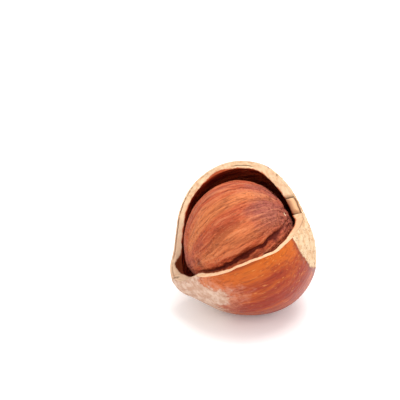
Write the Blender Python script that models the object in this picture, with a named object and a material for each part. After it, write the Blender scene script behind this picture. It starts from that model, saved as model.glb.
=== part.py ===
"""Opened hazelnut: a woody shell with a lengthwise wedge broken out, and the kernel that lies in it.

The nut lies on its closed side, with its tip low at -X, its scar high at +X and the opening
facing up and to the front, -Y. The origin is the middle of the small flat spot that it rests on.
Both solids are worked out in the nut's own frame (x from the tip to the scar, y to the back,
z up), which NUT_RISE and NUT_YAW then turn into place. Angles in that frame are "lean", measured
from the scar to the tip, and "turn", measured round the axis from straight up to the front.
"""

import math

import bmesh
import bpy
import numpy as np
from mathutils import Matrix, Vector

MM = 0.001

# How the nut lies, in degrees: the scar end is higher, and slightly further back
NUT_RISE = 26.3
NUT_YAW = 3.3

# Outline of the shell from its centre: lean in degrees, distance in mm
SHELL_OUTLINE = (
    (0, 9.40), (14, 9.62), (28, 10.12), (39, 10.62), (48, 10.98), (60, 11.18), (76, 11.22),
    (90, 11.02), (105, 10.72), (120, 10.44), (134, 10.24), (148, 10.16), (160, 10.56),
    (170, 11.42), (180, 11.90),
)
OVALNESS = 0.012  # the shell is this much wider across OVAL_TURN than along it
OVAL_TURN = 64.0
SCAR_BULGE = 0.42  # mm that the scar is fuller on the side of SCAR_BULGE_TURN
SCAR_BULGE_TURN = 105.0
SCAR_BULGE_WIDTH = 55.0
SCAR_BULGE_RISE = (2, 15)  # leans between which the bulge grows from the scar's middle
SCAR_BULGE_FALL = (20, 38)  # leans between which it dies away
TIP_BEND = 1.15  # mm that the tip leans off the axis, towards TIP_BEND_TURN
TIP_BEND_TURN = 154.0
TIP_BEND_FROM = 105.0

# Wall of the shell in mm, thicker behind the scar and at the tip
WALL = 1.08
SCAR_WALL = 1.45
SCAR_LEAN = 46.0
TIP_WALL = 1.95
TIP_WALL_FROM = 152.0

# The break: two planes through the axis, met by short rounded ends at the scar and the tip
OPENING_TURN = 28.2
OPENING_HALF = 54.0
SCAR_LIP = 3.0
TIP_LIP = 6.5
LIP_SPREAD = 0.20
# Where the break stands in or back from the planes: place round the edge, half width, size, degrees
EDGE_BUMPS = ((-146, 18, 6.5), (-88, 34, 0.9), (34, 22, -2.8), (116, 24, -2.8))
# Waves of the broken edge: how many round the edge, size in degrees, start in degrees
EDGE_WAVES = ((3, 0.7, 40), (5, 0.5, 200), (9, 0.35, 95), (14, 0.22, 10), (23, 0.12, 160))

# Long shallow flutes on the outside of the shell: how many, depth in mm, start in degrees
SHELL_FLUTES = ((5, 0.05, 20), (9, 0.035, 75), (16, 0.02, 130))
SHELL_SHARP = 40  # degrees between faces that still look smooth

# The kernel: where its centre lies in the nut's frame, and its outline as for the shell
KERNEL_CENTRE = (-0.42, -0.12, -0.16)
KERNEL_OUTLINE = (
    (0, 7.95), (16, 8.05), (32, 8.35), (48, 8.72), (64, 8.96), (80, 8.98), (98, 8.86),
    (114, 8.62), (132, 8.32), (150, 8.14), (166, 8.20), (180, 8.50),
)
KERNEL_BEND = 0.40  # mm that the kernel's pointed end leans off its axis, towards KERNEL_BEND_TURN
KERNEL_BEND_TURN = 8.0
KERNEL_BEND_FROM = 115.0
# The folds and furrows run this many degrees askew: at the scar they meet nearer to FOLD_TILT_TURN
FOLD_TILT = 10.0
FOLD_TILT_TURN = -80.0
KERNEL_FOLDS = ((4, 0.07, 15), (7, 0.06, 70), (13, 0.05, 5), (22, 0.035, 40))
# Furrows of the kernel: turn, depth in mm, half width in degrees, slant over the length in degrees
FURROWS = (
    (76, 0.50, 3.4, 0), (93, 0.28, 3.4, -3), (45, 0.16, 3.4, 3), (31, 0.14, 3.2, -2),
    (13, 0.20, 3.4, 1), (-8, 0.16, 3.4, 3), (-28, 0.34, 4.0, -4), (-54, 0.24, 3.6, 5),
    (-84, 0.38, 4.2, -5), (-118, 0.26, 3.6, 4), (-150, 0.34, 4.0, -6), (178, 0.26, 3.6, 4),
    (146, 0.32, 4.0, -4), (118, 0.24, 3.6, 5),
)
KERNEL_EYE_DEPTH = 0.45  # mm that the kernel's broad end is dimpled at its middle
KERNEL_EYE_LEAN = 9.0
KERNEL_SHARP = 60

FLAT_DEPTH = 0.24  # mm worn off the lowest point, which leaves the flat spot
LOWEST_LEANS = range(60, 150)  # degrees between which the lowest point is looked for
LOWEST_TURNS = range(150, 211)

# How finely the solids are meshed
EDGE_POINTS = 84
BOWL_ROWS = 20
KERNEL_COLUMNS = 120
KERNEL_ROWS = 30


def clear_scene() -> None:
    for obj in list(bpy.data.objects):
        bpy.data.objects.remove(obj, do_unlink=True)


def smooth_through(points: tuple, at: float) -> float:
    """Height at one place of the smooth curve through a few (place, height) points."""
    places = [place for place, _ in points]
    heights = [height for _, height in points]
    slopes = np.gradient(heights, places)
    after = min(max(int(np.searchsorted(places, at)), 1), len(places) - 1)
    before = after - 1
    step = places[after] - places[before]
    share = (at - places[before]) / step
    rise = heights[after] - heights[before]
    bend_in = step * slopes[before] - rise
    bend_out = rise - step * slopes[after]
    curve = share * (1 - share) * (bend_in * (1 - share) + bend_out * share)
    return heights[before] + rise * share + curve


def ease(value: float, start: float, end: float) -> float:
    """0 before start, 1 after end, and an S curve between them."""
    share = min(max((value - start) / (end - start), 0.0), 1.0)
    return share * share * (3 - 2 * share)


def waves(which: tuple, angle: float) -> float:
    """Sum of the (count, size, start) waves at one angle in degrees."""
    return sum(size * math.sin(math.radians(count * angle + start)) for count, size, start in which)


def lean_and_turn(direction: Vector) -> tuple:
    """The two angles, in degrees, of a direction in the nut's frame."""
    lean = math.degrees(math.acos(min(max(direction.x, -1.0), 1.0)))
    return lean, math.degrees(math.atan2(-direction.y, direction.z))


def sideways(turn: float) -> Vector:
    """The direction square to the axis at this turn."""
    angle = math.radians(turn)
    return Vector((0.0, -math.sin(angle), math.cos(angle)))


def nut_to_world() -> Matrix:
    rise = Matrix.Rotation(math.radians(-NUT_RISE), 3, "Y")
    return Matrix.Rotation(math.radians(NUT_YAW), 3, "Z") @ rise


def wall_at(lean: float) -> float:
    """Wall of the shell in mm, along the line from the nut's centre."""
    scar = (SCAR_WALL - WALL) * (1 - ease(lean, SCAR_LEAN - 12, SCAR_LEAN + 12))
    tip = (TIP_WALL - WALL) * ease(lean, TIP_WALL_FROM, 180)
    return WALL + scar + tip


def shell_point(direction: Vector, inside: bool) -> Vector:
    """Point of the shell's outside or inside skin in a direction from the nut's centre, in mm."""
    lean, turn = lean_and_turn(direction)
    roundness = math.sin(math.radians(lean))
    distance = smooth_through(SHELL_OUTLINE, lean)
    distance *= 1 - OVALNESS * roundness * math.cos(math.radians(2 * (turn - OVAL_TURN)))
    aside = (turn - SCAR_BULGE_TURN + 180) % 360 - 180
    bulge = SCAR_BULGE * math.exp(-((aside / SCAR_BULGE_WIDTH) ** 2))
    distance += bulge * ease(lean, *SCAR_BULGE_RISE) * (1 - ease(lean, *SCAR_BULGE_FALL))
    if inside:
        distance -= wall_at(lean)
    else:
        distance += waves(SHELL_FLUTES, turn) * roundness**2
    bend = TIP_BEND * ease(lean, TIP_BEND_FROM, 180)
    return direction * distance + sideways(TIP_BEND_TURN) * bend


def bowl_reach(around: float) -> float:
    """Angle in degrees from the middle of the closed side to the broken edge.

    around is the place on the edge: 0 at the scar, 90 at the back, 180 at the tip."""
    angle = math.radians(around)
    wedge = math.degrees(math.atan2(math.tan(math.radians(OPENING_HALF)), abs(math.sin(angle))))
    lip = SCAR_LIP if math.cos(angle) > 0 else TIP_LIP
    wedge -= lip * math.exp(-((math.sin(angle) / LIP_SPREAD) ** 2))
    for middle, width, size in EDGE_BUMPS:
        wedge -= size * math.exp(-(((around - middle) / width) ** 2))
    return 180 - wedge + waves(EDGE_WAVES, around)


def add_skin(mesh: bmesh.types.BMesh, inside: bool) -> list:
    """Adds the bowl of one skin, from the middle of the closed side to the edge; returns its edge."""
    sphere = bmesh.ops.create_uvsphere(
        mesh, u_segments=EDGE_POINTS, v_segments=2 * BOWL_ROWS, radius=1.0
    )
    above = [vert for vert in sphere["verts"] if vert.co.z > 0.01]
    bmesh.ops.delete(mesh, geom=above, context="VERTS")
    bowl = [vert for vert in sphere["verts"] if vert.is_valid]
    opening_to_nut = Matrix.Rotation(math.radians(OPENING_TURN), 3, "X")
    for vert in bowl:
        around = math.atan2(vert.co.y, vert.co.x)
        share = math.acos(min(max(-vert.co.z, -1.0), 1.0)) / math.radians(90)
        reach = share * math.radians(bowl_reach(math.degrees(around)))
        flat = math.sin(reach)
        direction = Vector((flat * math.cos(around), flat * math.sin(around), -math.cos(reach)))
        vert.co = shell_point(opening_to_nut @ direction, inside)
    if inside:
        bmesh.ops.reverse_faces(mesh, faces=list({face for vert in bowl for face in vert.link_faces}))
    return [edge for edge in mesh.edges if edge.is_boundary and edge.verts[0] in bowl]


def kernel_relief(direction: Vector) -> float:
    """How far the kernel's skin stands above its outline, in mm: folds, furrows and the broad end."""
    across = sideways(FOLD_TILT_TURN).cross(Vector((1.0, 0.0, 0.0)))
    lean, turn = lean_and_turn(Matrix.Rotation(math.radians(FOLD_TILT), 3, across) @ direction)
    roundness = math.sin(math.radians(lean))
    relief = waves(KERNEL_FOLDS, turn) * roundness**1.5
    for middle, depth, width, slant in FURROWS:
        off = (turn - middle - slant * (lean - 90) / 90 + 180) % 360 - 180
        relief -= depth * math.exp(-((off * roundness / width) ** 2)) * roundness**1.2
    return relief - KERNEL_EYE_DEPTH * math.exp(-((lean / KERNEL_EYE_LEAN) ** 2))


def kernel_point(direction: Vector) -> Vector:
    """Point of the kernel's skin in a direction from the kernel's centre, in the nut's frame, in mm."""
    lean, _ = lean_and_turn(direction)
    distance = smooth_through(KERNEL_OUTLINE, lean) + kernel_relief(direction)
    bend = KERNEL_BEND * ease(lean, KERNEL_BEND_FROM, 180)
    return Vector(KERNEL_CENTRE) + direction * distance + sideways(KERNEL_BEND_TURN) * bend


def make_material(name: str, colour: tuple, roughness: float) -> bpy.types.Material:
    material = bpy.data.materials.new(name)
    material.use_nodes = True
    shader = material.node_tree.nodes["Principled BSDF"]
    shader.inputs["Base Color"].default_value = (*colour, 1.0)
    shader.inputs["Roughness"].default_value = roughness
    shader.inputs["Metallic"].default_value = 0.0
    return material


def shell_material() -> bpy.types.Material:
    return make_material("shell_wood", (0.40, 0.13, 0.035), 0.35)


def kernel_material() -> bpy.types.Material:
    return make_material("kernel_skin", (0.36, 0.10, 0.04), 0.60)


def place_object(name: str, mesh: bmesh.types.BMesh, material: bpy.types.Material, sharp: float):
    """Turns the finished mesh into a smooth-shaded object in the scene."""
    data = bpy.data.meshes.new(name)
    mesh.to_mesh(data)
    mesh.free()
    data.materials.append(material)
    data.shade_smooth()
    data.set_sharp_from_angle(angle=math.radians(sharp))
    obj = bpy.data.objects.new(name, data)
    bpy.context.scene.collection.objects.link(obj)
    return obj


def lay_down(mesh: bmesh.types.BMesh, rest: Vector) -> None:
    """Turns a mesh from the nut's frame in mm to the part's frame in metres, over the rest spot."""
    turned = nut_to_world()
    for vert in mesh.verts:
        vert.co = (turned @ vert.co - rest) * MM


def rest_spot() -> Vector:
    """Middle of the flat spot, in mm, in the turned frame round the nut's centre."""
    turned = nut_to_world()
    lowest = Vector((0.0, 0.0, 0.0))
    for lean in LOWEST_LEANS:
        for turn in LOWEST_TURNS:
            direction = sideways(turn) * math.sin(math.radians(lean))
            direction.x = math.cos(math.radians(lean))
            point = turned @ shell_point(direction, False)
            if point.z < lowest.z:
                lowest = point
    return lowest + Vector((0.0, 0.0, FLAT_DEPTH))


def make_shell(rest: Vector) -> bpy.types.Object:
    mesh = bmesh.new()
    edges = add_skin(mesh, inside=False)
    edges += add_skin(mesh, inside=True)
    bmesh.ops.bridge_loops(mesh, edges=edges)
    lay_down(mesh, rest)
    for vert in mesh.verts:
        vert.co.z = max(vert.co.z, 0.0)
    bmesh.ops.recalc_face_normals(mesh, faces=mesh.faces[:])
    return place_object("shell", mesh, shell_material(), SHELL_SHARP)


def make_kernel(rest: Vector) -> bpy.types.Object:
    mesh = bmesh.new()
    bmesh.ops.create_uvsphere(mesh, u_segments=KERNEL_COLUMNS, v_segments=KERNEL_ROWS, radius=1.0)
    for vert in mesh.verts:
        vert.co = kernel_point(Vector((vert.co.z, vert.co.x, vert.co.y)).normalized())
    lay_down(mesh, rest)
    bmesh.ops.recalc_face_normals(mesh, faces=mesh.faces[:])
    return place_object("kernel", mesh, kernel_material(), KERNEL_SHARP)


def main() -> None:
    clear_scene()
    rest = rest_spot()
    make_shell(rest)
    make_kernel(rest)


main()
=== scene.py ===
"""Looks of the opened hazelnut: its woody shell, broken open lengthwise, and the kernel inside.

Both pieces are worked out in the nut's own frame (x from the tip to the scar, y to the back,
z up, in mm round the nut's centre) and then turned into the part's frame. Angles in that frame are
"lean", from the scar to the tip, and "turn", round the axis from straight up to the front.
"""

import logging
import math
from dataclasses import dataclass
from enum import Enum

import bpy
import numpy as np
from mathutils import Euler, Matrix, Vector, noise


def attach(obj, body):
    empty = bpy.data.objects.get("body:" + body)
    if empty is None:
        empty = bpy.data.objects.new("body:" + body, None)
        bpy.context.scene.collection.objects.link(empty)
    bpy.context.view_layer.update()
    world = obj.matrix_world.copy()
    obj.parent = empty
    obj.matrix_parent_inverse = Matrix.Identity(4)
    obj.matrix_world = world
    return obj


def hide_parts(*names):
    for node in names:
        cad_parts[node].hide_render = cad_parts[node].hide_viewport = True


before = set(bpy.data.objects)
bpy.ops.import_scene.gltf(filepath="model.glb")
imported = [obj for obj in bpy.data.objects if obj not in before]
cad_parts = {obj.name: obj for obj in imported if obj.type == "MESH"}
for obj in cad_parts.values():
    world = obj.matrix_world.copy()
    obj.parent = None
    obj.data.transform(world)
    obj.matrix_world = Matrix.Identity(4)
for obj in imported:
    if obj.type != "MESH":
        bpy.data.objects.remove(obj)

MM = 0.001
FIELD_SHIFT = (7.3, 3.1, 5.7)  # how far one seed moves a noise field
FIELD_FADE = 0.9  # how fast the finer layers of a noise field fade
FIELD_STEP = 2.1  # how much finer each layer is than the one before
Socket = bpy.types.NodeSocket
Values = np.ndarray
log = logging.getLogger("hazelnut")


class Slot(Enum):
    """Material slots of the record."""

    SHELL = "shell_wood"
    KERNEL = "kernel_skin"


class Seed(Enum):
    """Where each noise field starts, so that no two of them look alike."""

    EDGE_FINE = 1.0
    EDGE_GRAIN = 2.0
    EDGE_TORN = 3.0
    SCAR_RIM = 4.0
    SCAR_PITS = 5.0
    LINING = 6.0
    BROKEN_WALL = 7.0
    STRAND_SWAY = 11.0
    CRUMPLE = 12.0
    FURROW_SWAY = 14.0
    DARK_SPOTS = 15.0
    STRANDS = 21.0


def srgb(red: float, green: float, blue: float) -> tuple:
    """Turns a colour on the 0 to 255 scale into the linear values that shaders take.

    Args:
        red, green, blue: the colour as it looks on a screen.

    Returns:
        A tuple of red, green, blue and alpha.
    """
    linear = []
    for value in (red / 255, green / 255, blue / 255):
        linear.append(value / 12.92 if value <= 0.04045 else ((value + 0.055) / 1.055) ** 2.4)
    return (*linear, 1.0)


def ease(value: Values, start: float, end: float) -> Values:
    """S curve from 0 at start to 1 at end.

    Args:
        value: the numbers to look up.
        start, end: where the curve leaves 0 and reaches 1; end may be the smaller one.

    Returns:
        An array of numbers from 0 to 1.
    """
    share = np.clip((np.asarray(value, float) - start) / (end - start), 0.0, 1.0)
    return share * share * (3 - 2 * share)


def hump(value: Values, middle: float, width: float) -> Values:
    """Bell curve of height 1 round a middle, on angles in degrees that wrap at 360.

    Args:
        value: the angles to look up.
        middle: where the curve is 1.
        width: how far from the middle it falls to about a third.

    Returns:
        An array of numbers from 0 to 1.
    """
    off = (np.asarray(value, float) - middle + 180) % 360 - 180
    return np.exp(-((off / width) ** 2))


def humps(places: tuple, value: Values) -> Values:
    """Sum of the (middle, width, height) bell curves at angles in degrees."""
    return sum(height * hump(value, middle, width) for middle, width, height in places)


def smooth_through(points: tuple, at: Values) -> Values:
    """Heights of the smooth curve through a few (place, height) points.

    Args:
        points: the points, in order of their places.
        at: the places to look up.

    Returns:
        The heights at those places.
    """
    places = np.array([place for place, _ in points], float)
    heights = np.array([height for _, height in points], float)
    slopes = np.gradient(heights, places)
    after = np.clip(np.searchsorted(places, at), 1, len(places) - 1)
    before = after - 1
    step = places[after] - places[before]
    share = (at - places[before]) / step
    rise = heights[after] - heights[before]
    bend_in = step * slopes[before] - rise
    bend_out = rise - step * slopes[after]
    curve = share * (1 - share) * (bend_in * (1 - share) + bend_out * share)
    return heights[before] + rise * share + curve


def waves(which: tuple, angle: Values) -> Values:
    """Sum of the (count, size, start) waves at angles in degrees."""
    return sum(size * np.sin(np.radians(count * angle + start)) for count, size, start in which)


def roughness_field(points: Values, octaves: int, seed: Seed, layer: int = 0) -> Values:
    """Fractal noise, from about -1 to 1, at points that are already scaled to its grain.

    Args:
        points: an array of places, three numbers a row.
        octaves: how many finer layers are added.
        seed: moves the whole field, so that two fields differ.
        layer: tells fields of one seed apart.

    Returns:
        One number for each place.
    """
    shifted = points + (seed.value + layer) * np.array(FIELD_SHIFT)
    places = shifted.tolist()
    return np.array([noise.fractal(Vector(place), FIELD_FADE, FIELD_STEP, octaves) for place in places])


@dataclass(frozen=True)
class NutForm:
    """The form that shell and kernel share: how the nut lies, its outline and its broken edge.

    Lengths are in mm and angles in degrees. The values are those of the solids.
    """

    rise: float = 26.3
    yaw: float = 3.3
    centre: tuple = (-0.833, 0.482, 10.397)
    outline: tuple = (
        (0, 9.40), (14, 9.62), (28, 10.12), (39, 10.62), (48, 10.98), (60, 11.18), (76, 11.22),
        (90, 11.02), (105, 10.72), (120, 10.44), (134, 10.24), (148, 10.16), (160, 10.56),
        (170, 11.42), (180, 11.90),
    )
    ovalness: float = 0.012
    oval_turn: float = 64.0
    scar_bulge: float = 0.42
    scar_bulge_turn: float = 105.0
    scar_bulge_width: float = 55.0
    scar_bulge_rise: tuple = (2, 15)
    scar_bulge_fall: tuple = (20, 38)
    tip_bend: float = 1.15
    tip_bend_turn: float = 154.0
    tip_bend_from: float = 105.0
    wall: float = 1.08
    scar_wall: float = 1.45
    scar_lean: float = 46.0
    scar_wall_fade: float = 12.0
    tip_wall: float = 1.95
    tip_wall_from: float = 152.0
    opening_turn: float = 28.2
    opening_half: float = 54.0
    scar_lip: float = 3.0
    tip_lip: float = 6.5
    lip_spread: float = 0.20
    edge_bumps: tuple = ((-146, 18, 6.5), (-88, 34, 0.9), (34, 22, -2.8), (116, 24, -2.8))
    edge_waves: tuple = ((3, 0.7, 40), (5, 0.5, 200), (9, 0.35, 95), (14, 0.22, 10), (23, 0.12, 160))
    flutes: tuple = ((5, 0.05, 20), (9, 0.035, 75), (16, 0.02, 130))

    def turned(self) -> Matrix:
        """The turn from the nut's frame to the part's frame."""
        rise = Matrix.Rotation(math.radians(-self.rise), 3, "Y")
        return Matrix.Rotation(math.radians(self.yaw), 3, "Z") @ rise

    def to_part(self, points: Values) -> Values:
        """Takes points from the nut's frame in mm to the part's frame in metres."""
        return (points @ np.array(self.turned()).T + np.array(self.centre)) * MM

    def opening_to_nut(self) -> Values:
        """The turn from the frame whose z points out of the opening to the nut's frame."""
        return np.array(Matrix.Rotation(math.radians(self.opening_turn), 3, "X"))

    def lean_and_turn(self, directions: Values) -> tuple:
        """The two angles, in degrees, of unit directions in the nut's frame."""
        lean = np.degrees(np.arccos(np.clip(directions[:, 0], -1, 1)))
        return lean, np.degrees(np.arctan2(-directions[:, 1], directions[:, 2]))

    def sideways(self, turn: float) -> Values:
        """The direction square to the axis at this turn."""
        angle = math.radians(turn)
        return np.array((0.0, -math.sin(angle), math.cos(angle)))

    def wall_at(self, lean: Values) -> Values:
        """Wall of the shell along the line from the nut's centre.

        Args:
            lean: the points' angles from the scar.

        Returns:
            The wall in mm at each.
        """
        start, end = self.scar_lean - self.scar_wall_fade, self.scar_lean + self.scar_wall_fade
        scar = (self.scar_wall - self.wall) * (1 - ease(lean, start, end))
        tip = (self.tip_wall - self.wall) * ease(lean, self.tip_wall_from, 180)
        return self.wall + scar + tip

    def bend_at(self, lean: Values) -> Values:
        """How far the tip's lean to one side moves a point."""
        return self.tip_bend * ease(lean, self.tip_bend_from, 180)

    def outer_distance(self, lean: Values, turn: Values) -> Values:
        """Distance of the shell's outside from the nut's centre, before flutes and bend.

        Args:
            lean, turn: the points' two angles.

        Returns:
            The distances in mm.
        """
        roundness = np.sin(np.radians(lean))
        oval = self.ovalness * roundness * np.cos(np.radians(2 * (turn - self.oval_turn)))
        bulge = self.scar_bulge * hump(turn, self.scar_bulge_turn, self.scar_bulge_width)
        bulge = bulge * ease(lean, *self.scar_bulge_rise) * (1 - ease(lean, *self.scar_bulge_fall))
        return smooth_through(self.outline, lean) * (1 - oval) + bulge

    def reach(self, around: Values) -> Values:
        """Angle from the middle of the closed side to the broken edge.

        Args:
            around: place on the edge, 0 at the scar, 90 at the back, 180 at the tip.

        Returns:
            The angles in degrees.
        """
        angle = np.radians(around)
        half = math.tan(math.radians(self.opening_half))
        wedge = np.degrees(np.arctan2(half, np.abs(np.sin(angle))))
        lip = np.where(np.cos(angle) > 0, self.scar_lip, self.tip_lip)
        wedge = wedge - lip * np.exp(-((np.sin(angle) / self.lip_spread) ** 2))
        wedge = wedge - humps(self.edge_bumps, around)
        return 180 - wedge + waves(self.edge_waves, around)


def add_round_grid(name: str, columns: int, rings: int) -> tuple:
    """Adds the sphere that a piece is shaped from, with its grid known point by point.

    Args:
        name: the piece's name.
        columns: how many points lie round it.
        rings: how many steps lead from the low pole to the high one.

    Returns:
        The object, an array of its unit points, and an array of its faces' middles.
    """
    bpy.ops.object.select_all(action="DESELECT")
    bpy.ops.mesh.primitive_uv_sphere_add(segments=columns, ring_count=rings, radius=1.0)
    piece = bpy.context.object
    piece.name = name
    piece.data.name = name
    points = np.empty(len(piece.data.vertices) * 3)
    piece.data.vertices.foreach_get("co", points)
    middles = np.empty(len(piece.data.polygons) * 3)
    piece.data.polygons.foreach_get("center", middles)
    return piece, points.reshape(-1, 3), middles.reshape(-1, 3)


def shape_piece(piece: bpy.types.Object, points: Values) -> None:
    """Moves the piece's points to their places and turns its faces outward.

    Args:
        piece: the object that add_round_grid made.
        points: where its points go, in the part's frame in metres.
    """
    piece.data.vertices.foreach_set("co", points.astype(np.float32).ravel())
    piece.data.update()
    bpy.ops.object.mode_set(mode="EDIT")
    bpy.ops.mesh.select_all(action="SELECT")
    bpy.ops.mesh.normals_make_consistent(inside=False)
    bpy.ops.object.mode_set(mode="OBJECT")


def store(piece: bpy.types.Object, name: str, values: Values) -> None:
    """Keeps one number, or three, for each point of the piece, for its material to read.

    Args:
        piece: the object.
        name: what the material calls the values.
        values: one row for each point.
    """
    if values.ndim == 1:
        layer = piece.data.attributes.new(name, "FLOAT", "POINT")
        layer.data.foreach_set("value", values.astype(np.float32))
    else:
        layer = piece.data.attributes.new(name, "FLOAT_VECTOR", "POINT")
        layer.data.foreach_set("vector", values.astype(np.float32).ravel())


def store_grain(piece: bpy.types.Object, along: Values, turn: Values, radius: float,
                pole: float, pitch: float) -> None:
    """Keeps the coordinates of a drum that the lengthwise grain follows.

    Args:
        piece: the object.
        along, turn: each point's angles along and round the grain.
        radius: radius of the drum in mm.
        pole: how far from each end, in degrees, the drum stops narrowing.
        pitch: mm along the drum for each degree.
    """
    angle = np.radians(turn)
    flat = radius * np.sin(np.radians(np.clip(along, pole, 180 - pole)))
    store(piece, "grain", np.stack([flat * np.cos(angle), flat * np.sin(angle), along * pitch], axis=1))


class Nodes:
    """A short way to write one node tree: it adds nodes, sets their inputs and links them."""

    def __init__(self, tree: bpy.types.NodeTree) -> None:
        """Takes the tree to write in."""
        self.tree = tree

    def put(self, socket: Socket, value: object) -> None:
        """Links a socket or sets a plain value on an input."""
        if isinstance(value, Socket):
            self.tree.links.new(value, socket)
        else:
            socket.default_value = value

    def node(self, kind: str, inputs: dict | None = None, **settings: object) -> bpy.types.Node:
        """Adds a node.

        Args:
            kind: its type without the ShaderNode prefix.
            inputs: sockets by name or number, each with a value or an output to link.
            settings: the node's own settings.

        Returns:
            The new node.
        """
        made = self.tree.nodes.new("ShaderNode" + kind)
        for key, value in settings.items():
            setattr(made, key, value)
        for key, value in (inputs or {}).items():
            self.put(made.inputs[key], value)
        return made

    def maths(self, operation: str, first: object, second: object) -> Socket:
        """One sum of two numbers."""
        return self.node("Math", {0: first, 1: second}, operation=operation).outputs[0]

    def plus(self, first: object, second: object) -> Socket:
        """The first number plus the second."""
        return self.maths("ADD", first, second)

    def minus(self, first: object, second: object) -> Socket:
        """The first number less the second."""
        return self.maths("SUBTRACT", first, second)

    def times(self, first: object, second: object) -> Socket:
        """The first number times the second."""
        return self.maths("MULTIPLY", first, second)

    def larger(self, first: object, second: object) -> Socket:
        """The larger of two numbers."""
        return self.maths("MAXIMUM", first, second)

    def mix(self, share: object, first: object, second: object) -> Socket:
        """Mixes two colours by a share from 0 to 1."""
        return self.node("Mix", {0: share, 6: first, 7: second}, data_type="RGBA").outputs[2]

    def mix_values(self, share: object, first: object, second: object) -> Socket:
        """Mixes two numbers by a share from 0 to 1."""
        return self.node("Mix", {0: share, 2: first, 3: second}, data_type="FLOAT").outputs[0]

    def tint(self, colour: object, other: object, mask: object, strength: float) -> Socket:
        """Mixes a second colour in where the mask is 1, by this strength."""
        return self.mix(self.times(mask, strength), colour, other)

    def between(self, value: object, low: float, high: float) -> Socket:
        """0 below low, 1 above high, and an S curve between them; high may be the lower one."""
        inputs = {"Value": value, "From Min": low, "From Max": high}
        made = self.node("MapRange", inputs, interpolation_type="SMOOTHSTEP")
        return made.outputs["Result"]

    def stored(self, name: str, vector: bool = False) -> Socket:
        """Reads what store kept on the piece's points."""
        made = self.node("Attribute", None, attribute_name=name, attribute_type="GEOMETRY")
        return made.outputs["Vector" if vector else "Fac"]

    def place(self) -> Socket:
        """The shaded point's place on the piece, in mm."""
        inputs = {"Vector": self.node("TexCoord").outputs["Object"], "Scale": (1 / MM, 1 / MM, 1 / MM)}
        return self.node("Mapping", inputs).outputs["Vector"]

    def bump(self, height: object) -> Socket:
        """Normals that follow a height in mm."""
        return self.node("Bump", {"Height": height, "Distance": MM, "Strength": 1.0}).outputs["Normal"]

    def noise(self, vector: object, scale: float, detail: float, rough: float) -> Socket:
        """Cloudy noise from 0 to 1; detail is its finer layers and rough their strength."""
        inputs = {"Vector": vector, "Scale": scale, "Detail": detail, "Roughness": rough}
        return self.node("TexNoise", inputs).outputs["Fac"]


def new_group(name: str, inputs: dict, outputs: dict) -> tuple:
    """Starts a shader node group.

    Args:
        name: the group's name.
        inputs: socket names, each with its type.
        outputs: the same for what the group puts out.

    Returns:
        The group's tree, its writer, its input node and its output node.
    """
    tree = bpy.data.node_groups.new(name, "ShaderNodeTree")
    for key, kind in inputs.items():
        tree.interface.new_socket(key, in_out="INPUT", socket_type="NodeSocket" + kind)
    for key, kind in outputs.items():
        tree.interface.new_socket(key, in_out="OUTPUT", socket_type="NodeSocket" + kind)
    return tree, Nodes(tree), tree.nodes.new("NodeGroupInput"), tree.nodes.new("NodeGroupOutput")


def grain_group() -> bpy.types.NodeTree:
    """Lengthwise grain: broad streaks, fine fibres and short flecks along the piece's grain."""
    tree, nodes, given, result = new_group(
        "lengthwise_grain",
        {"Grain": "Vector", "Across": "Float", "Along": "Float"},
        {"Streaks": "Float", "Fibres": "Float", "Flecks": "Float"},
    )
    across = given.outputs["Across"]
    along = given.outputs["Along"]
    stretch = nodes.node("CombineXYZ", {"X": across, "Y": across, "Z": along}).outputs[0]
    spread = nodes.node("VectorMath", {0: given.outputs["Grain"], 1: stretch}, operation="MULTIPLY")
    drift = nodes.node("TexNoise", {"Vector": spread.outputs[0], "Scale": 0.35, "Detail": 1.0})
    swayed = nodes.node(
        "VectorMath", {0: drift.outputs["Color"], 1: spread.outputs[0]}, operation="ADD"
    ).outputs[0]
    nodes.put(result.inputs["Streaks"], nodes.noise(swayed, 1.0, 2.0, 0.5))
    nodes.put(result.inputs["Fibres"], nodes.noise(swayed, 2.4, 3.0, 0.6))
    flecks = nodes.noise(swayed, 1.7, 1.0, 0.4)
    nodes.put(result.inputs["Flecks"], nodes.between(flecks, 0.66, 0.74))
    return tree


def speckle_group() -> bpy.types.NodeTree:
    """Small dark pits scattered over a rough surface, in two sizes."""
    tree, nodes, given, result = new_group(
        "speckle", {"Place": "Vector", "Density": "Float"}, {"Specks": "Float", "Relief": "Float"}
    )
    place = given.outputs["Place"]
    patches = nodes.noise(place, 1.1, 2.0, 0.6)
    bent = nodes.node("TexNoise", {"Vector": place, "Scale": 1.8, "Detail": 2.0})
    bent = nodes.node("VectorMath", {0: bent.outputs["Color"], 1: place}, operation="ADD").outputs[0]
    coarse = nodes.node("TexVoronoi", {"Vector": bent, "Scale": 1.7, "Randomness": 1.0})
    fine = nodes.node("TexVoronoi", {"Vector": bent, "Scale": 3.1, "Randomness": 1.0})
    big = nodes.between(coarse.outputs["Distance"], 0.26, 0.08)
    small = nodes.between(fine.outputs["Distance"], 0.34, 0.14)
    both = nodes.larger(big, small)
    some = nodes.between(nodes.plus(patches, given.outputs["Density"]), 0.42, 0.60)
    nodes.put(result.inputs["Specks"], nodes.times(both, some))
    nodes.put(result.inputs["Relief"], nodes.noise(place, 1.9, 4.0, 0.65))
    return tree


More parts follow.
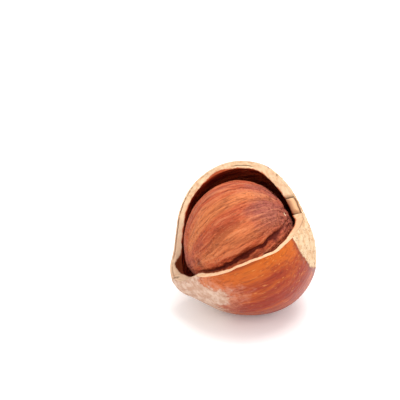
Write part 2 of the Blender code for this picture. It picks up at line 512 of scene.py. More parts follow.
@dataclass(frozen=True)
class SharedEffects:
    """Node groups that several finishes place with their own values."""

    grain: bpy.types.NodeTree
    speckle: bpy.types.NodeTree

    def add_grain(self, nodes: Nodes, across: float, along: float) -> bpy.types.Node:
        """Places the lengthwise grain in a material."""
        made = nodes.node("Group", None, node_tree=self.grain)
        nodes.put(made.inputs["Grain"], nodes.stored("grain", vector=True))
        made.inputs["Across"].default_value = across
        made.inputs["Along"].default_value = along
        return made

    def add_speckle(self, nodes: Nodes, place: object, density: float) -> bpy.types.Node:
        """Places the speckle in a material."""
        made = nodes.node("Group", None, node_tree=self.speckle)
        nodes.put(made.inputs["Place"], place)
        made.inputs["Density"].default_value = density
        return made


def new_material(name: str) -> tuple:
    """Starts a material.

    Args:
        name: its name.

    Returns:
        The material, its Principled shader and the writer of its node tree.
    """
    material = bpy.data.materials.new(name)
    material.use_nodes = True
    shader = material.node_tree.nodes["Principled BSDF"]
    return material, shader, Nodes(material.node_tree)


@dataclass(frozen=True)
class HuskFinish:
    """Outside of the shell: glossy streaked brown, pale rough scar, and grey down at the tip."""

    amber: tuple = srgb(208, 116, 26)
    orange: tuple = srgb(190, 88, 14)
    red_brown: tuple = srgb(144, 40, 6)
    dark: tuple = srgb(96, 20, 2)
    fleck: tuple = srgb(226, 150, 78)
    scar_pale: tuple = srgb(224, 196, 160)
    scar_tan: tuple = srgb(206, 164, 124)
    scar_speck: tuple = srgb(140, 78, 50)
    down_pale: tuple = srgb(222, 196, 176)
    down_tan: tuple = srgb(198, 158, 134)
    down_scratch: tuple = srgb(136, 92, 72)
    down_pink: tuple = srgb(206, 142, 114)
    streak_grain: tuple = (0.5, 0.05)
    fine_grain: tuple = (1.4, 0.10)
    hair_grain: tuple = (2.4, 0.30)
    scar_edge: tuple = (46.8, 45.2)
    shaded_edge: tuple = (50.5, 46.5)
    gloss: tuple = (0.30, 0.42)
    matt: float = 0.86
    coat: float = 0.08
    coat_roughness: float = 0.18
    specular: float = 0.18

    def build(self, effects: SharedEffects) -> bpy.types.Material:
        """Makes the material, which reads grain, lean, warm and down from the piece's points.

        Args:
            effects: the node groups that it uses.

        Returns:
            The material.
        """
        material, shader, nodes = new_material("shell_husk")
        place = nodes.place()
        grain = effects.add_grain(nodes, *self.streak_grain)
        fine = effects.add_grain(nodes, *self.fine_grain)
        hair = effects.add_grain(nodes, *self.hair_grain)
        fibres = fine.outputs["Fibres"]
        hairs = hair.outputs["Fibres"]
        bands = nodes.times(nodes.minus(grain.outputs["Streaks"], 0.5), 2.1)
        stripes = nodes.times(nodes.minus(fine.outputs["Streaks"], 0.5), 1.0)
        warm = nodes.plus(nodes.stored("warm"), nodes.plus(bands, stripes))
        husk = nodes.mix(nodes.between(warm, 0.0, 1.0), self.red_brown, self.orange)
        husk = nodes.tint(husk, self.amber, nodes.between(warm, 1.0, 1.7), 0.6)
        darker = nodes.between(fibres, 0.52, 0.34)
        husk = nodes.tint(husk, self.dark, darker, 0.40)
        lighter = nodes.between(hairs, 0.52, 0.72)
        husk = nodes.tint(husk, self.fleck, lighter, 0.14)
        husk = nodes.tint(husk, self.fleck, hair.outputs["Flecks"], 0.38)

        specks = effects.add_speckle(nodes, place, 0.10)
        mottled = nodes.between(nodes.noise(place, 1.3, 3.0, 0.6), 0.38, 0.66)
        scar = nodes.mix(mottled, self.scar_pale, self.scar_tan)
        scar = nodes.tint(scar, self.scar_speck, specks.outputs["Specks"], 0.82)
        ragged = nodes.times(nodes.minus(nodes.noise(place, 0.9, 4.0, 0.6), 0.5), 7.0)
        lean = nodes.plus(nodes.stored("lean"), ragged)
        on_scar = nodes.between(lean, *self.scar_edge)
        husk = nodes.tint(husk, self.dark, nodes.between(lean, *self.shaded_edge), 0.55)

        blotch = nodes.minus(nodes.noise(place, 0.42, 4.0, 0.62), 0.5)
        brushed = nodes.minus(fibres, 0.5)
        patchy = nodes.plus(nodes.times(blotch, 4.2), nodes.times(brushed, 2.0))
        downy = nodes.plus(nodes.stored("down"), patchy)
        thick = nodes.between(downy, 0.25, 0.95)
        thin = nodes.between(downy, -1.25, 0.35)
        clumps = nodes.between(nodes.noise(place, 1.2, 3.0, 0.6), 0.36, 0.64)
        down = nodes.mix(clumps, self.down_tan, self.down_pale)
        scratches = nodes.between(hairs, 0.40, 0.28)
        down = nodes.tint(down, self.down_scratch, scratches, 0.6)
        down = nodes.mix(thick, self.down_pink, down)
        thinly = nodes.times(thin, nodes.plus(nodes.times(clumps, 0.50), 0.22))
        covered = nodes.larger(nodes.times(thick, 0.94), thinly)

        colour = nodes.mix(covered, husk, down)
        colour = nodes.mix(on_scar, colour, scar)
        nodes.put(shader.inputs["Base Color"], colour)
        dull = nodes.larger(covered, on_scar)
        gloss = nodes.mix_values(fibres, *self.gloss)
        nodes.put(shader.inputs["Roughness"], nodes.mix_values(dull, gloss, self.matt))
        nodes.put(shader.inputs["Coat Weight"], nodes.mix_values(dull, self.coat, 0.0))
        shader.inputs["Coat Roughness"].default_value = self.coat_roughness
        shader.inputs["Specular IOR Level"].default_value = self.specular

        grain_height = nodes.times(fibres, 0.035)
        scar_height = nodes.times(specks.outputs["Relief"], 0.16)
        scar_height = nodes.minus(scar_height, nodes.times(specks.outputs["Specks"], 0.05))
        fuzz = nodes.times(nodes.noise(place, 3.0, 4.0, 0.7), 0.22)
        height = nodes.mix_values(covered, grain_height, fuzz)
        height = nodes.mix_values(on_scar, height, scar_height)
        nodes.put(shader.inputs["Normal"], nodes.bump(height))
        return material


@dataclass(frozen=True)
class BrokenEdgeFinish:
    """The broken wall: pale fibrous wood with a thin dark skin line and a reddish inner edge; near the tip
    the inner edge is dark brown painted shade, and the crack colour also paints shade under the lifted
    splinter.
    """

    cream: tuple = srgb(242, 212, 174)
    peach: tuple = srgb(228, 182, 140)
    skin_line: tuple = srgb(104, 56, 34)
    # Dark brown painted shade on the inner edge near the tip.
    shaded_tip_edge: tuple = srgb(98, 36, 10)
    torn_red: tuple = srgb(184, 86, 48)
    grey: tuple = srgb(206, 174, 148)
    tan: tuple = srgb(222, 172, 130)
    # Colour of the cracks, also used as painted shade under the lifted splinter.
    crack_and_shade: tuple = srgb(74, 34, 18)
    line_start: tuple = (0.13, 0.20)
    line_end: tuple = (0.31, 0.24)
    roughness: float = 0.78
    specular: float = 0.12

    def build(self, effects: SharedEffects) -> bpy.types.Material:
        """Makes the material, which reads the break's values from the piece's points.

        They are across, layered, inner_skin_and_shade, tip_side, crack, chip and down.

        Args:
            effects: the node groups that it uses.

        Returns:
            The material.
        """
        material, shader, nodes = new_material("shell_broken_edge")
        place = nodes.place()
        across = nodes.stored("across")
        fibres = nodes.noise(place, 1.7, 4.0, 0.62)
        wood = nodes.mix(nodes.between(fibres, 0.40, 0.70), self.cream, self.peach)
        wood = nodes.mix(nodes.stored("chip"), wood, self.tan)
        wood = nodes.tint(wood, self.grey, nodes.between(nodes.stored("down"), 0.2, 1.6), 0.7)
        wobble = nodes.times(nodes.minus(nodes.noise(place, 1.4, 3.0, 0.6), 0.5), 0.16)
        depth = nodes.plus(across, wobble)
        line = nodes.times(nodes.between(depth, *self.line_start), nodes.between(depth, *self.line_end))
        dashes = nodes.between(nodes.noise(place, 0.7, 3.0, 0.6), 0.36, 0.50)
        line = nodes.times(nodes.times(line, dashes), nodes.stored("layered"))
        wood = nodes.tint(wood, self.skin_line, line, 0.85)
        torn = nodes.minus(nodes.noise(place, 1.0, 4.0, 0.65), 0.5)
        covered = nodes.plus(nodes.stored("inner_skin_and_shade"), nodes.times(torn, 0.45))
        inner = nodes.between(nodes.plus(across, covered), 0.88, 1.06)
        # Near the tip the inner edge turns dark brown: painted shade on the break where it slants inward.
        torn_and_shaded_colour = nodes.mix(nodes.stored("tip_side"), self.torn_red, self.shaded_tip_edge)
        wood = nodes.mix(inner, wood, torn_and_shaded_colour)
        specks = effects.add_speckle(nodes, place, -0.16)
        wood = nodes.tint(wood, self.skin_line, specks.outputs["Specks"], 0.35)
        wood = nodes.mix(nodes.stored("crack_and_shade"), wood, self.crack_and_shade)
        nodes.put(shader.inputs["Base Color"], wood)
        shader.inputs["Roughness"].default_value = self.roughness
        shader.inputs["Specular IOR Level"].default_value = self.specular
        height = nodes.times(fibres, 0.09)
        height = nodes.minus(height, nodes.times(line, 0.05))
        nodes.put(shader.inputs["Normal"], nodes.bump(height))
        return material


@dataclass(frozen=True)
class LiningFinish:
    """Inside of the shell: dull red-brown papery lining with darker veins along the nut."""

    brown: tuple = srgb(178, 62, 32)
    dark: tuple = srgb(102, 20, 10)
    pale: tuple = srgb(222, 136, 90)
    grain: tuple = (1.1, 0.12)
    roughness: float = 0.72
    specular: float = 0.05

    def build(self, effects: SharedEffects) -> bpy.types.Material:
        """Makes the material, which reads grain from the piece's points.

        Args:
            effects: the node groups that it uses.

        Returns:
            The material.
        """
        material, shader, nodes = new_material("shell_lining")
        grain = effects.add_grain(nodes, *self.grain)
        streaks = nodes.between(grain.outputs["Streaks"], 0.32, 0.70)
        colour = nodes.mix(streaks, self.dark, self.brown)
        fibres = nodes.between(grain.outputs["Fibres"], 0.5, 0.8)
        colour = nodes.tint(colour, self.pale, fibres, 0.35)
        nodes.put(shader.inputs["Base Color"], colour)
        shader.inputs["Roughness"].default_value = self.roughness
        shader.inputs["Specular IOR Level"].default_value = self.specular
        height = nodes.times(grain.outputs["Fibres"], 0.08)
        nodes.put(shader.inputs["Normal"], nodes.bump(height))
        return material


@dataclass(frozen=True)
class KernelFinish:
    """Skin of the kernel: terracotta with orange ridges and plum patches, painted shade in its furrows,
    wrinkles and hollows, and a painted sheen near the scar end.
    """

    terracotta: tuple = srgb(188, 84, 48)
    orange: tuple = srgb(210, 118, 70)
    plum: tuple = srgb(152, 84, 76)
    shadow: tuple = srgb(84, 14, 4)
    pale: tuple = srgb(230, 150, 104)
    flesh: tuple = srgb(244, 206, 170)
    broad_grain: tuple = (0.7, 0.10)
    fine_grain: tuple = (1.3, 0.14)
    hair_grain: tuple = (2.2, 0.30)
    dryness: tuple = (0.46, 0.66)
    specular: float = 0.15

    def build(self, effects: SharedEffects) -> bpy.types.Material:
        """Makes the material, which reads grain and the skin's values from the piece's points.

        They are band, plum, ends, strand, furrow, wrinkle and flake.

        Args:
            effects: the node groups that it uses.

        Returns:
            The material.
        """
        material, shader, nodes = new_material("kernel_skin")
        place = nodes.place()
        broad = effects.add_grain(nodes, *self.broad_grain)
        fine = effects.add_grain(nodes, *self.fine_grain)
        hair = effects.add_grain(nodes, *self.hair_grain)
        fibres = fine.outputs["Fibres"]
        hairs = hair.outputs["Fibres"]
        cloud = nodes.noise(place, 0.45, 4.0, 0.6)
        bright = nodes.plus(nodes.stored("band"), nodes.times(broad.outputs["Streaks"], 0.9))
        colour = nodes.mix(nodes.between(bright, 0.45, 1.15), self.terracotta, self.orange)
        # Plum tone in patches and at both ends, with a painted sheen in the same colour near the scar end.
        plum = nodes.plus(nodes.stored("plum"), nodes.times(cloud, 1.1))
        plum = nodes.plus(plum, nodes.times(nodes.stored("ends"), 0.90))
        colour = nodes.tint(colour, self.plum, nodes.between(plum, 0.62, 1.45), 0.74)
        # Painted shade in the hollows between the strands.
        low = nodes.between(nodes.stored("strand"), 0.48, 0.12)
        colour = nodes.tint(colour, self.shadow, low, 0.34)
        high = nodes.between(nodes.stored("strand"), 0.52, 0.90)
        colour = nodes.tint(colour, self.pale, high, 0.30)
        dark_lines = nodes.between(fibres, 0.48, 0.30)
        colour = nodes.tint(colour, self.shadow, dark_lines, 0.50)
        light_lines = nodes.between(hairs, 0.52, 0.70)
        colour = nodes.tint(colour, self.pale, light_lines, 0.32)
        # Painted shade in the furrows, and painted shadow on the lobe past the main furrow.
        colour = nodes.tint(colour, self.shadow, nodes.between(nodes.stored("furrow"), 0.05, 0.85), 0.92)
        # Painted shade in the wrinkles where the folds meet.
        colour = nodes.tint(colour, self.shadow, nodes.stored("wrinkle"), 0.85)
        colour = nodes.tint(colour, self.flesh, nodes.stored("flake"), 0.9)
        nodes.put(shader.inputs["Base Color"], colour)
        nodes.put(shader.inputs["Roughness"], nodes.mix_values(fibres, *self.dryness))
        shader.inputs["Specular IOR Level"].default_value = self.specular
        lines = nodes.times(fibres, 0.28)
        ribs = nodes.times(hairs, 0.14)
        grit = nodes.times(nodes.noise(place, 2.8, 3.0, 0.6), 0.10)
        height = nodes.plus(nodes.plus(lines, ribs), grit)
        nodes.put(shader.inputs["Normal"], nodes.bump(height))
        return material


@dataclass
class Shell:
    """The woody shell: outside, broken edge and lining in one closed mesh.

    The mesh is one grid of rings, which lead from the middle of the closed side out to the edge,
    across the broken wall and back along the inside.
    """

    form: NutForm
    columns: int = 520
    outer_rings: int = 104
    edge_rings: int = 14
    inner_rings: int = 48
    # Marks on the edge: place round it, half width and depth, in degrees
    cracks: tuple = ((15.5, 0.8, 3.0), (-0.5, 1.0, 5.0))
    tip_crack: tuple = (185.0, 1.0, 4.0)
    chip: tuple = (7.5, 7.5, 2.2)
    tip_slope: tuple = (172.0, 7.0, 5.0)
    nick: tuple = (33.0, 0.7)
    crack_slant: float = -4.0
    flap_span: tuple = (50.0, 73.0)
    flap_rise: float = 1.8
    # Fine lines along the husk: how many round it, height in mm, start
    striae: tuple = ((61, 0.012, 10), (97, 0.009, 80), (143, 0.007, 150))
    sharp: float = 48.0
    # Where colours lie: middle and half width in degrees, then strength
    down_from: float = 126.0
    down_reaches: tuple = ((106, 12, 22), (146, 24, 9))
    down_fade: float = 12.0
    warm_places: tuple = ((88, 13, 0.85), (-110, 30, 0.5))
    layered_place: tuple = ((140, 40, 0.88),)
    # The second skin place, at the tip, is painted shade on the inward-slanting break.
    skin_and_shade_places: tuple = ((86, 10, 0.30), (173, 6, 0.50))
    tan_place: tuple = ((-92, 40, 0.55),)
    tip_side: tuple = (176, 22)
    grain: tuple = (10.0, 25, 0.19)

    def build(self, effects: SharedEffects) -> bpy.types.Object:
        """Makes the shell's piece.

        Args:
            effects: the node groups that its finishes use.

        Returns:
            The finished object.
        """
        rings = self.outer_rings + self.edge_rings + self.inner_rings
        piece, unit, middles = add_round_grid("shell_body", self.columns, rings)
        around = np.degrees(np.arctan2(unit[:, 1], unit[:, 0]))
        ring = np.degrees(np.arccos(np.clip(-unit[:, 2], -1, 1))) / 180 * rings
        across = np.clip((ring - self.outer_rings) / self.edge_rings, 0, 1)
        inner_edge = self.outer_rings + self.edge_rings
        share = np.where(ring <= self.outer_rings, ring / self.outer_rings, 1.0)
        share = np.where(ring > inner_edge, (rings - ring) / self.inner_rings, share)
        edge = self.edge_angle(around, across)
        directions = self.directions(around, share * edge)
        lean, turn = self.form.lean_and_turn(directions)
        points = self.skin(directions, lean, turn, across)
        placed = self.form.to_part(points)
        placed[:, 2] = np.maximum(placed[:, 2], 0.0)
        shape_piece(piece, placed)
        self.store_values(piece, lean, turn, around, across)
        for finish in (HuskFinish(), BrokenEdgeFinish(), LiningFinish()):
            piece.data.materials.append(finish.build(effects))
        middle_ring = np.degrees(np.arccos(np.clip(-middles[:, 2], -1, 1))) / 180 * rings
        which = (middle_ring > self.outer_rings).astype(int) + (middle_ring > inner_edge)
        piece.data.polygons.foreach_set("material_index", which.astype(np.int32))
        bpy.ops.object.shade_smooth_by_angle(angle=math.radians(self.sharp))
        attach(piece, "root")
        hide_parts("shell")
        log.info("shell: %d faces", len(piece.data.polygons))
        return piece

    def directions(self, around: Values, reach: Values) -> Values:
        """Unit directions in the nut's frame.

        Args:
            around: place round the opening.
            reach: angle from the middle of the closed side.

        Returns:
            One direction a row.
        """
        angle = np.radians(around)
        reach = np.radians(reach)
        flat = np.sin(reach)
        local = np.stack([flat * np.cos(angle), flat * np.sin(angle), -np.cos(reach)], axis=1)
        return local @ self.form.opening_to_nut().T

    def edge_angle(self, around: Values, across: Values) -> Values:
        """Angle out to the broken edge, with the ragged break, its cracks and its chip.

        Args:
            around: place round the edge, 0 at the scar and 180 at the tip.
            across: 0 at the outer line of the edge and 1 at the inner one.

        Returns:
            The angles from the middle of the closed side, in degrees.
        """
        angle = np.radians(around)
        loop = np.stack([np.cos(angle) * 9, np.sin(angle) * 9, across * 1.4], axis=1)
        fine = roughness_field(loop * 2.2, 3, Seed.EDGE_FINE) * 0.30
        grain = roughness_field(loop * 5.0, 2, Seed.EDGE_GRAIN) * 0.16
        torn = roughness_field(loop * 1.3, 3, Seed.EDGE_TORN) * hump(around, 118, 34) * 1.2
        ragged = (fine + grain) * (0.25 + 0.75 * across) + torn * across
        reach = self.form.reach(around) + ragged
        slanted = around + (across - 0.5) * self.crack_slant
        for middle, width, depth in self.cracks:
            reach = reach - depth * hump(slanted, middle, width)
        middle, width, depth = self.tip_crack
        reach = reach - depth * hump(slanted, middle, width) * ease(across, 0.60, 0.35)
        middle, width, depth = self.chip
        on_chip = ease(np.abs(slanted - middle), width, width * 0.7)
        pebble = depth * (1 - 1.6 * np.sin(np.pi * np.clip(across * 1.15 - 0.15, 0, 1)) ** 0.8)
        reach = reach - pebble * on_chip
        middle, width, depth = self.tip_slope
        reach = reach - depth * hump(around, middle, width) * ease(across, 0.35, 1.0)
        return reach + self.flap(around) * ease(across, 0.62, 0.80) * self.flap_rise

    def flap(self, around: Values) -> Values:
        """1 along the lifted splinter of the inner edge and 0 away from it."""
        start, end = self.flap_span
        return ease(around, start, start + 5) * ease(around, end, end - 5)

    def skin(self, directions: Values, lean: Values, turn: Values, across: Values) -> Values:
        """Points of the shell in the nut's frame, in mm.

        Args:
            directions: unit directions from the nut's centre.
            lean, turn: their two angles.
            across: 0 on the outside, 1 on the inside, and between them on the broken edge.

        Returns:
            The points, with flutes, fine grain, scar and lining relief.
        """
        form = self.form
        roundness = np.sin(np.radians(lean))
        outer = form.outer_distance(lean, turn)
        outside = waves(form.flutes, turn) * roundness**2 + waves(self.striae, turn) * roundness
        base = directions * outer[:, None]
        ragged = lean + roughness_field(base * 0.8, 2, Seed.SCAR_RIM) * 3
        on_scar = ease(ragged, form.scar_lean + 1.5, form.scar_lean - 1.5)
        pits = roughness_field(base * 1.7, 4, Seed.SCAR_PITS) * 0.10 - 0.05
        outside = outside * (1 - on_scar) + pits * on_scar
        lining = roughness_field(base * np.array((0.35, 1.1, 1.1)), 3, Seed.LINING) * 0.05
        wall = form.wall_at(lean)
        step = roughness_field(base * 2.4, 3, Seed.BROKEN_WALL) * 0.05 * np.sin(np.pi * across)
        distance = outer + outside * (1 - across) + lining * across - wall * across + step
        bend = form.bend_at(lean)[:, None] * form.sideways(form.tip_bend_turn)
        return directions * distance[:, None] + bend

    def store_values(self, piece: bpy.types.Object, lean: Values, turn: Values,
                     around: Values, across: Values) -> None:
        """Keeps on the points what the three finishes read.

        Args:
            piece: the shell.
            lean, turn: each point's two angles in the nut's frame.
            around, across: its place round the opening and through the wall.
        """
        store_grain(piece, lean, turn, *self.grain)
        store(piece, "lean", lean)
        store(piece, "across", across)
        limit = self.down_from - humps(self.down_reaches, turn)
        store(piece, "down", (lean - limit) / self.down_fade)
        store(piece, "warm", 0.25 + humps(self.warm_places, turn))
        store(piece, "layered", 0.12 + humps(self.layered_place, around))
        store(piece, "inner_skin_and_shade", 0.05 + humps(self.skin_and_shade_places, around))
        store(piece, "tip_side", hump(around, *self.tip_side))
        slanted = around + (across - 0.5) * self.crack_slant
        crack_and_shade = sum(hump(slanted, middle, width * 0.8) for middle, width, _ in self.cracks)
        middle, width, _ = self.tip_crack
        crack_and_shade = crack_and_shade + hump(slanted, middle, width * 0.8) * ease(across, 0.60, 0.35)
        middle, width, _ = self.chip
        on_chip = ease(np.abs(slanted - middle), width, width * 0.8)
        beside = hump(across * 100, 12, 7) * on_chip
        # Painted shade under the lifted splinter, in the crack colour.
        under_flap = self.flap(around) * hump(across * 100, 64, 7)
        middle, width = self.nick
        nick = hump(around, middle, width) * ease(across, 0.22, 0.10)
        by_scar = hump(around, -20, 15)
        seam = 0.7 * hump(across * 100, 8, 5) * by_scar
        crack_and_shade = (crack_and_shade + beside + under_flap + nick + seam) * ease(across, 0.0, 0.05)
        store(piece, "crack_and_shade", np.clip(crack_and_shade, 0, 1))
        store(piece, "chip", np.maximum(on_chip, 0.7 * by_scar + humps(self.tan_place, around)))


@dataclass
class Kernel:
    """The kernel: a plump seed with a pointed end, long folds, furrows and a wrinkled broad end."""

    form: NutForm
    centre: tuple = (-0.42, -0.12, -0.16)
    outline: tuple = (
        (0, 7.95), (16, 8.05), (32, 8.35), (48, 8.72), (64, 8.96), (80, 8.98), (98, 8.86),
        (114, 8.62), (132, 8.32), (150, 8.14), (166, 8.20), (180, 8.50),
    )
    bend: float = 0.40
    bend_turn: float = 8.0
    bend_from: float = 115.0
    fold_tilt: float = 10.0
    fold_tilt_turn: float = -80.0
    folds: tuple = ((4, 0.07, 15), (7, 0.06, 70), (13, 0.05, 5), (22, 0.035, 40))
    # Furrows: turn, depth in mm, half width, and how far they slant
    furrows: tuple = (
        (76, 0.58, 2.1, 0), (93, 0.28, 2.8, -3), (45, 0.16, 3.4, 3), (31, 0.14, 3.2, -2),
        (13, 0.20, 3.4, 1), (-8, 0.16, 3.4, 3), (-28, 0.34, 4.0, -4), (-54, 0.24, 3.6, 5),
        (-84, 0.38, 4.2, -5), (-118, 0.26, 3.6, 4), (-150, 0.34, 4.0, -6), (178, 0.26, 3.6, 4),
        (146, 0.32, 4.0, -4), (118, 0.24, 3.6, 5),
    )
    # Short nicks: turn, and the angles along the folds where they start and end
    nicks: tuple = (
        (62, 100, 113), (34, 66, 80), (51, 58, 70), (22, 96, 108), (68, 74, 86), (55, 122, 132),
        (5, 60, 72), (-16, 88, 102), (-60, 70, 90), (-104, 96, 112), (150, 66, 84), (104, 108, 124),
    )
    nick_depth: float = 0.13
    nick_width: float = 1.3
    # Dark spots, the three at turn 86 to 88 painted shadow on the lobe past the main furrow, and a painted
    # sheen: lean, turn, size, strength
    dark_spots: tuple = (
        (144, 63, 6, 0.35), (132, 66, 7, 0.5), (92, 88, 8, 0.5), (78, 86, 8, 0.6), (64, 86, 8, 0.6),
        (48, 74, 6, 0.5), (16, 20, 5, 0.4),
    )
    painted_sheen: tuple = (46.0, 42.0, 17.0, 0.75)
    flake_at: tuple = (17.0, 37.0)
    flake_size: float = 2.6
    # Strands: how fine each layer is, and its height in mm
    strand_layers: tuple = ((7.0, 0.05), (14.0, 0.08), (26.0, 0.09), (42.0, 0.05))
    strand_sway: float = 2.4
    furrow_sway: float = 2.0
    # Colour bands: turn, half width, strength
    bands: tuple = ((22, 8, 1.0), (58, 12, 0.5), (-40, 12, 0.6), (-130, 14, 0.6))
    plums: tuple = ((-2, 13, 0.4), (40, 7, 0.25), (-70, 20, 0.5))
    grain: tuple = (9.0, 18, 0.16)
    eye_depth: float = 0.45
    eye_lean: float = 9.0
    columns: int = 480
    rings: int = 170

    def build(self, effects: SharedEffects) -> bpy.types.Object:
        """Makes the kernel's piece.

        Args:
            effects: the node groups that its finish uses.

        Returns:
            The finished object.
        """
        piece, unit, _ = add_round_grid("kernel_body", self.columns, self.rings)
        directions = np.stack([unit[:, 2], unit[:, 0], unit[:, 1]], axis=1)
        lean, _ = self.form.lean_and_turn(directions)
        along, turn = self.form.lean_and_turn(directions @ self.askew().T)
        roundness = np.sin(np.radians(along))
        sway = roughness_field(directions * 5.0, 3, Seed.FURROW_SWAY) * self.furrow_sway
        furrow = self.furrow_depth(along, turn + sway, roundness)
        strands = self.strands(directions, along, turn, roundness)
        crumple = self.crumple(directions, along)
        relief = waves(self.folds, turn) * roundness**1.5 - furrow + strands + crumple
        relief = relief - self.eye_depth * np.exp(-((along / self.eye_lean) ** 2))
        distance = smooth_through(self.outline, lean) + relief
        bend = self.bend * ease(lean, self.bend_from, 180)[:, None] * self.form.sideways(self.bend_turn)
        points = np.array(self.centre) + directions * distance[:, None] + bend
        shape_piece(piece, self.form.to_part(points))
        self.store_values(piece, directions, along, turn, furrow, strands, crumple)
        piece.data.materials.append(KernelFinish().build(effects))
        bpy.ops.object.shade_smooth()
        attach(piece, "root")
        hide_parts("kernel")
        log.info("kernel: %d faces", len(piece.data.polygons))
        return piece

    def askew(self) -> Values:
        """The turn that takes the point where the folds meet, at the scar end, onto the axis."""
        axis = Vector(self.form.sideways(self.fold_tilt_turn)).cross(Vector((1.0, 0.0, 0.0)))
        return np.array(Matrix.Rotation(math.radians(self.fold_tilt), 3, axis))

    def furrow_depth(self, along: Values, turn: Values, roundness: Values) -> Values:
        """Depth in mm of the deep furrows, which the solid has too, and of the short nicks.

        Args:
            along, turn: the angles along and round the folds.
            roundness: how far each point stands off the axis, from 0 to 1.

        Returns:
            The depths.
        """
        depth = np.zeros(len(along))
        for middle, deep, width, slant in self.furrows:
            off = (turn - middle - slant * (along - 90) / 90 + 180) % 360 - 180
            depth += deep * np.exp(-((off * roundness / width) ** 2)) * roundness**1.2
        for middle, start, end in self.nicks:
            within = ease(along, start - 3, start + 3) * ease(along, end + 3, end - 3)
            depth += self.nick_depth * within * hump(turn, middle, self.nick_width / 0.9)
        return depth

    def strands(self, directions: Values, along: Values, turn: Values, roundness: Values) -> Values:
        """Height in mm of the fibrous strands, which wander a little and run into one another.

        Args:
            directions: unit directions from the kernel's centre.
            along, turn: the angles along and round the folds.
            roundness: how far each point stands off the axis, from 0 to 1.

        Returns:
            The heights.
        """
        sway = roughness_field(directions * 2.2, 3, Seed.STRAND_SWAY) * self.strand_sway
        angle = np.radians(turn + sway)
        height = np.zeros(len(along))
        for layer, (thick, size) in enumerate(self.strand_layers):
            loop = np.stack([np.cos(angle) * thick, np.sin(angle) * thick, along * 0.0014 * thick], axis=1)
            height += size * roughness_field(loop, 2, Seed.STRANDS, layer)
        return height * roundness**0.7

    def crumple(self, directions: Values, along: Values) -> Values:
        """Height in mm of the wrinkles where the folds meet, stronger at the scar end.

        Args:
            directions: unit directions from the kernel's centre.
            along: the angle along the folds.

        Returns:
            The heights.
        """
        near = np.exp(-((along / 38) ** 2)) + 0.4 * np.exp(-(((180 - along) / 22) ** 2))
        rough = roughness_field(directions * 5.0, 3, Seed.CRUMPLE)
        return -0.30 * near * np.exp(-((rough / 0.09) ** 2)) + 0.22 * near * np.abs(rough)

    def aside(self, directions: Values, lean: float, turn: float) -> Values:
        """Angle from each direction to the one that has the given lean and turn.

        Args:
            directions: unit directions from the kernel's centre.
            lean, turn: the two angles of the place.

        Returns:
            The angles in degrees.
        """
        middle = self.form.sideways(turn) * math.sin(math.radians(lean))
        middle[0] = math.cos(math.radians(lean))
        return np.degrees(np.arccos(np.clip(directions @ middle, -1, 1)))

    def spot(self, directions: Values, lean: float, turn: float, size: float, strength: float) -> Values:
        """A soft spot: its strength in the middle, and about a third of it at its size in degrees."""
        return strength * np.exp(-((self.aside(directions, lean, turn) / size) ** 2))

    def store_values(self, piece: bpy.types.Object, directions: Values, along: Values,
                     turn: Values, furrow: Values, strands: Values, crumple: Values) -> None:
        """Keeps on the points what the kernel's finish reads.

        Args:
            piece: the kernel.
            directions: unit directions from its centre.
            along, turn: the angles along and round the folds.
            furrow, strands, crumple: what the furrows, strands and wrinkles did, in mm.
        """
        store_grain(piece, along, turn, *self.grain)
        # Darker in the furrows as painted shade, plus the dark spots; the three past the main furrow are
        # painted shadow on its lobe.
        dark = np.clip(furrow / 0.44, 0, 1) ** 2.2
        broken = 0.85 + 1.1 * roughness_field(directions * 8.0, 3, Seed.DARK_SPOTS)
        for dark_spot in self.dark_spots:
            dark = dark + self.spot(directions, *dark_spot) * broken
        store(piece, "furrow", np.clip(dark, 0, 1))
        store(piece, "strand", np.clip(0.5 + strands / 0.15, 0, 1))
        aside = self.aside(directions, *self.flake_at)
        store(piece, "flake", ease(aside, self.flake_size, self.flake_size * 0.5))
        store(piece, "wrinkle", np.clip(-crumple / 0.16, 0, 1))
        ends = np.exp(-((along / 46) ** 2)) + 0.9 * np.exp(-(((180 - along) / 22) ** 2))
        store(piece, "ends", ends)
        band = humps(self.bands, turn) * ease(along, 22, 44) * ease(along, 168, 130)
        store(piece, "band", band)
        # The plum mask also carries the painted sheen near the scar end.
        store(piece, "plum", humps(self.plums, turn) + self.spot(directions, *self.painted_sheen))


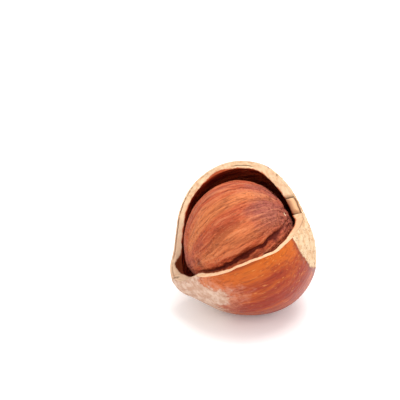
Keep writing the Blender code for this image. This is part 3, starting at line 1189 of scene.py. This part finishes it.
@dataclass
class Studio:
    """Pale floor, soft light and the camera at the photograph's angle."""

    form: NutForm
    elevation: float = 27.0
    distance: float = 0.45
    pixels_per_mm: float = 7.0
    centre_pixel: tuple = (243.5, 240.0)
    image_size: float = 400.0
    sensor: float = 36.0
    floor_size: float = 4.0
    floor_colour: tuple = (0.97, 0.955, 0.96, 1.0)
    floor_roughness: float = 0.32
    floor_specular: float = 0.25
    floor_glow_colour: tuple = (1.0, 0.96, 0.95, 1.0)
    floor_glow: float = 0.12
    white: tuple = (1.0, 1.0, 1.0, 1.0)
    surround: float = 0.74
    aim: tuple = (0, 0, 0.01)
    nearest: float = 0.01
    lamps: tuple = (
        ("key_light", (0.10, 0.12, 0.60), 0.46, 3.2, (1.0, 0.98, 0.96)),
        ("fill_light", (-0.10, -0.60, 0.36), 0.70, 1.4, (1.0, 0.98, 0.96)),
        ("side_light", (0.60, -0.10, 0.30), 0.50, 1.1, (1.0, 1.0, 1.0)),
    )

    def build(self) -> None:
        """Sets up the floor, the lamps, the world and the camera."""
        self.add_floor()
        for name, place, size, power, colour in self.lamps:
            self.add_lamp(name, place, size, power, colour)
        self.add_world()
        self.add_camera()
        bpy.context.scene.view_settings.view_transform = "Standard"
        log.info("studio: floor, %d lamps and camera", len(self.lamps))

    def add_floor(self) -> None:
        """A plain near-white floor with a faint shine."""
        bpy.ops.object.select_all(action="DESELECT")
        bpy.ops.mesh.primitive_plane_add(size=self.floor_size)
        floor = bpy.context.object
        floor.name = "floor"
        material, shader, _ = new_material("floor_white")
        shader.inputs["Base Color"].default_value = self.floor_colour
        shader.inputs["Roughness"].default_value = self.floor_roughness
        shader.inputs["Specular IOR Level"].default_value = self.floor_specular
        shader.inputs["Emission Color"].default_value = self.floor_glow_colour
        shader.inputs["Emission Strength"].default_value = self.floor_glow
        floor.data.materials.append(material)

    def add_lamp(self, name: str, place: tuple, size: float, power: float, colour: tuple) -> None:
        """Adds one soft square lamp that points at the nut.

        Args:
            name: its name.
            place: where it hangs, in metres.
            size: its side in metres.
            power: its power in watts.
            colour: its colour.
        """
        data = bpy.data.lights.new(name, "AREA")
        data.size = size
        data.energy = power
        data.color = colour
        lamp = bpy.data.objects.new(name, data)
        lamp.location = place
        aim = Vector(self.aim) - Vector(place)
        lamp.rotation_euler = aim.to_track_quat("-Z", "Y").to_euler()
        bpy.context.scene.collection.objects.link(lamp)

    def add_world(self) -> None:
        """A bright white surround."""
        world = bpy.data.worlds.new("studio_white")
        world.use_nodes = True
        background = world.node_tree.nodes["Background"]
        background.inputs["Color"].default_value = self.white
        background.inputs["Strength"].default_value = self.surround
        bpy.context.scene.world = world

    def add_camera(self) -> None:
        """Places the camera so that the nut falls where the photograph has it."""
        data = bpy.data.cameras.new("camera")
        data.sensor_width = self.sensor
        data.sensor_height = self.sensor
        data.sensor_fit = "HORIZONTAL"
        data.lens = self.sensor * self.pixels_per_mm * (self.distance / MM) / self.image_size
        data.clip_start = self.nearest
        angle = math.radians(self.elevation)
        forward = Vector((0.0, math.cos(angle), -math.sin(angle)))
        up = Vector((0.0, math.sin(angle), math.cos(angle)))
        aside = (self.centre_pixel[0] - self.image_size / 2) / self.pixels_per_mm * MM
        below = (self.centre_pixel[1] - self.image_size / 2) / self.pixels_per_mm * MM
        camera = bpy.data.objects.new("camera", data)
        camera.location = Vector(self.form.centre) * MM - forward * self.distance + up * below
        camera.location.x -= aside
        camera.rotation_euler = Euler((math.radians(90) - angle, 0.0, 0.0))
        bpy.context.scene.collection.objects.link(camera)
        bpy.context.scene.camera = camera


def main() -> None:
    logging.basicConfig(level=logging.INFO, format="%(name)s: %(message)s")
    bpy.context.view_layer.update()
    form = NutForm()
    Studio(form).build()
    effects = SharedEffects(grain_group(), speckle_group())
    Shell(form).build(effects)
    Kernel(form).build(effects)


if __name__ == "__main__":
    main()
